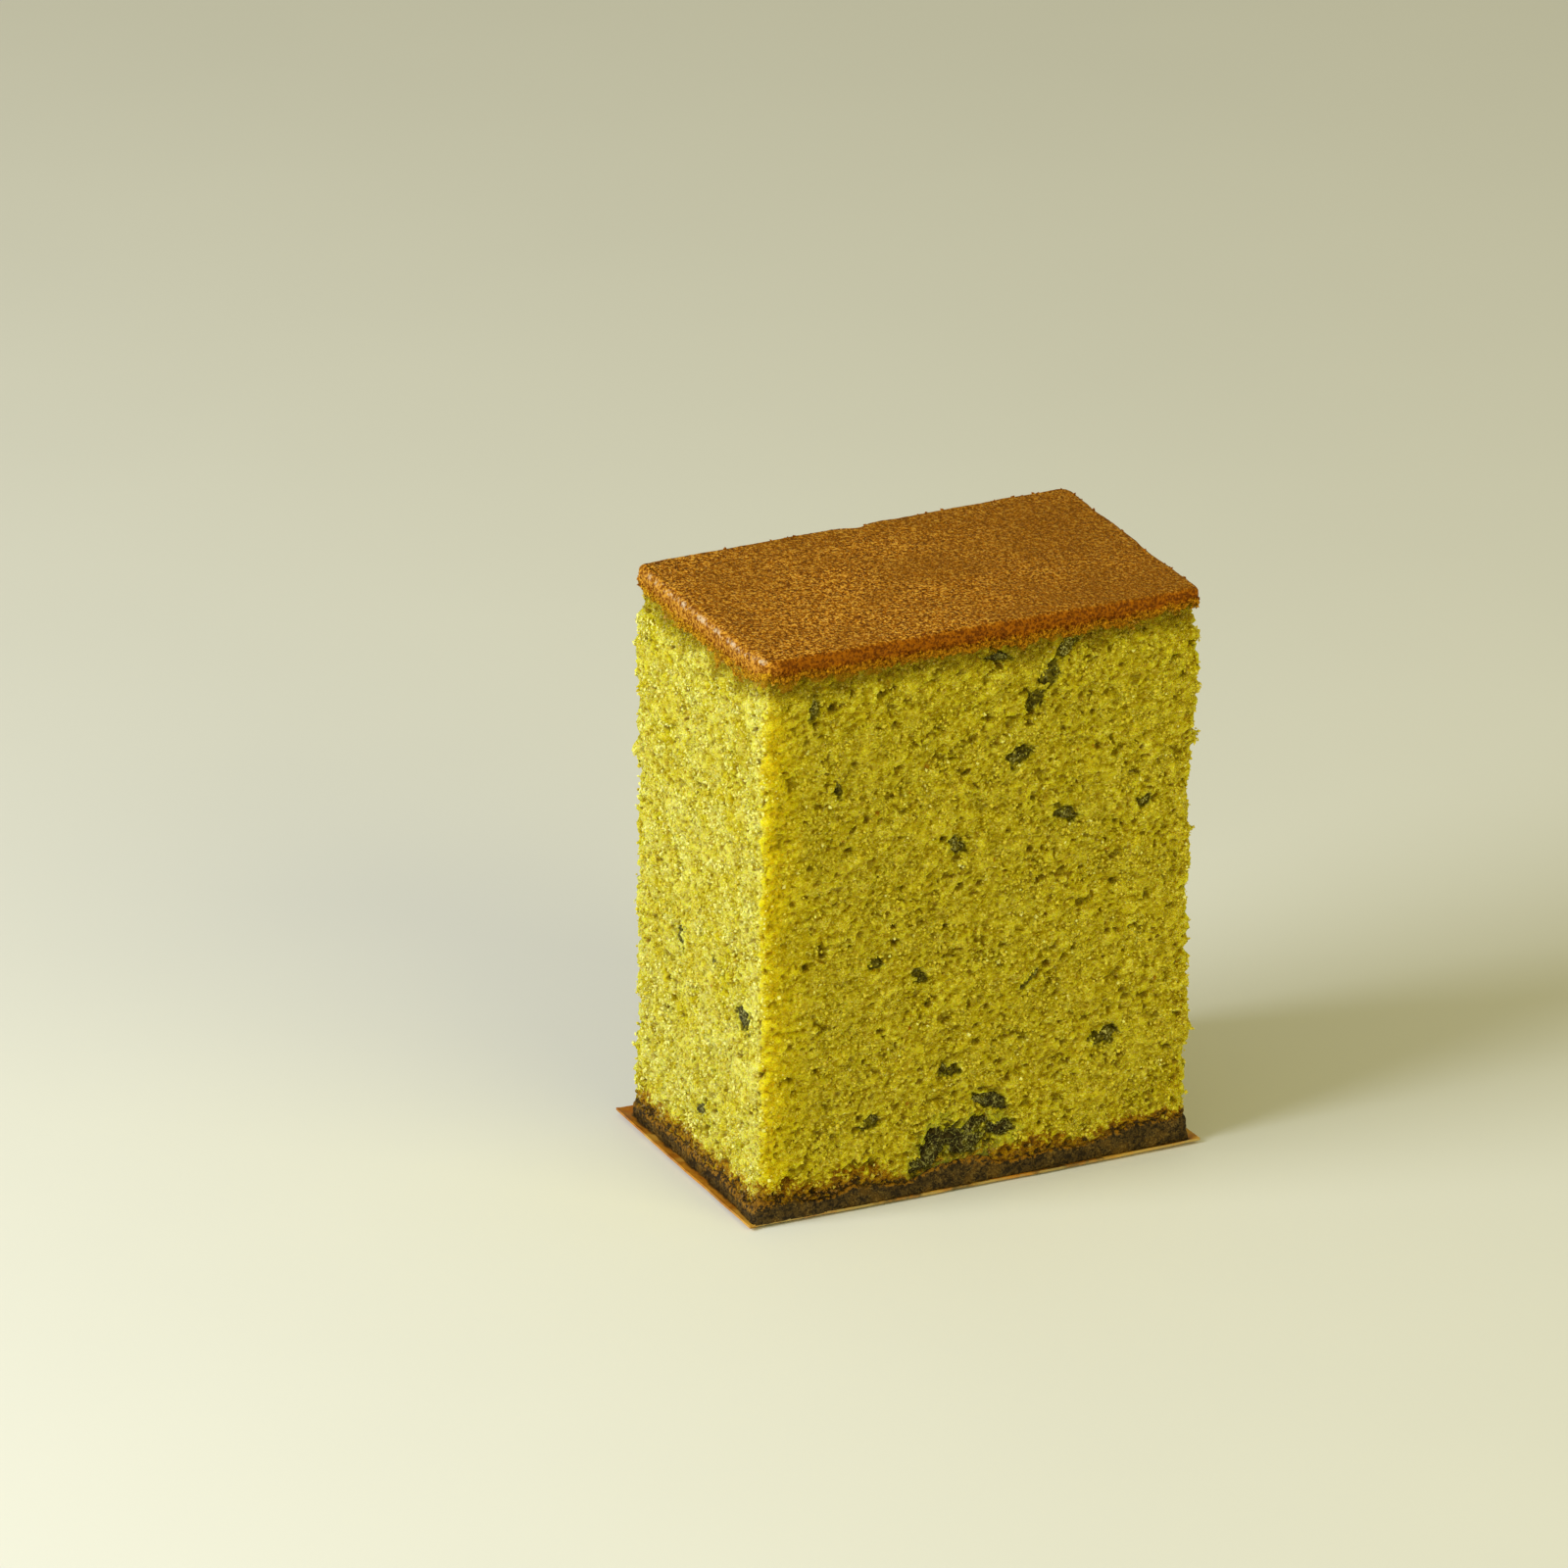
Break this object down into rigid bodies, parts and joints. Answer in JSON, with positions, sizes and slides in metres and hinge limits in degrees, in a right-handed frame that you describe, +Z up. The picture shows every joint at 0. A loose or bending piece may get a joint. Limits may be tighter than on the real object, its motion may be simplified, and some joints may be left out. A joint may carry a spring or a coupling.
{
  "type": "matcha castella slice",
  "caption": "Upright cut slice of green tea sponge cake with a browned top, a dark caramelised base and leaf flecks, on its thin stained baking paper.",
  "frame": {"origin": "middle of the footprint of the base paper, at the height of the surface that it rests on", "axes": "+Z up, from the base paper to the browned top. The wide cut face looks along -Y, and the narrow side face that the picture shows looks along -X"},
  "size_m": [0.0498, 0.0312, 0.06],
  "materials": {
    "sponge": "open matt crumb, yellow-green, with a brown top, a dark base and dark leaf flecks",
    "baking_paper": "thin, stained orange-brown by caramel, with a pale cut edge"
  },
  "bodies": {
    "root": {"castella_slice": "sponge", "base_paper": "baking_paper"}
  },
  "joints": []
}
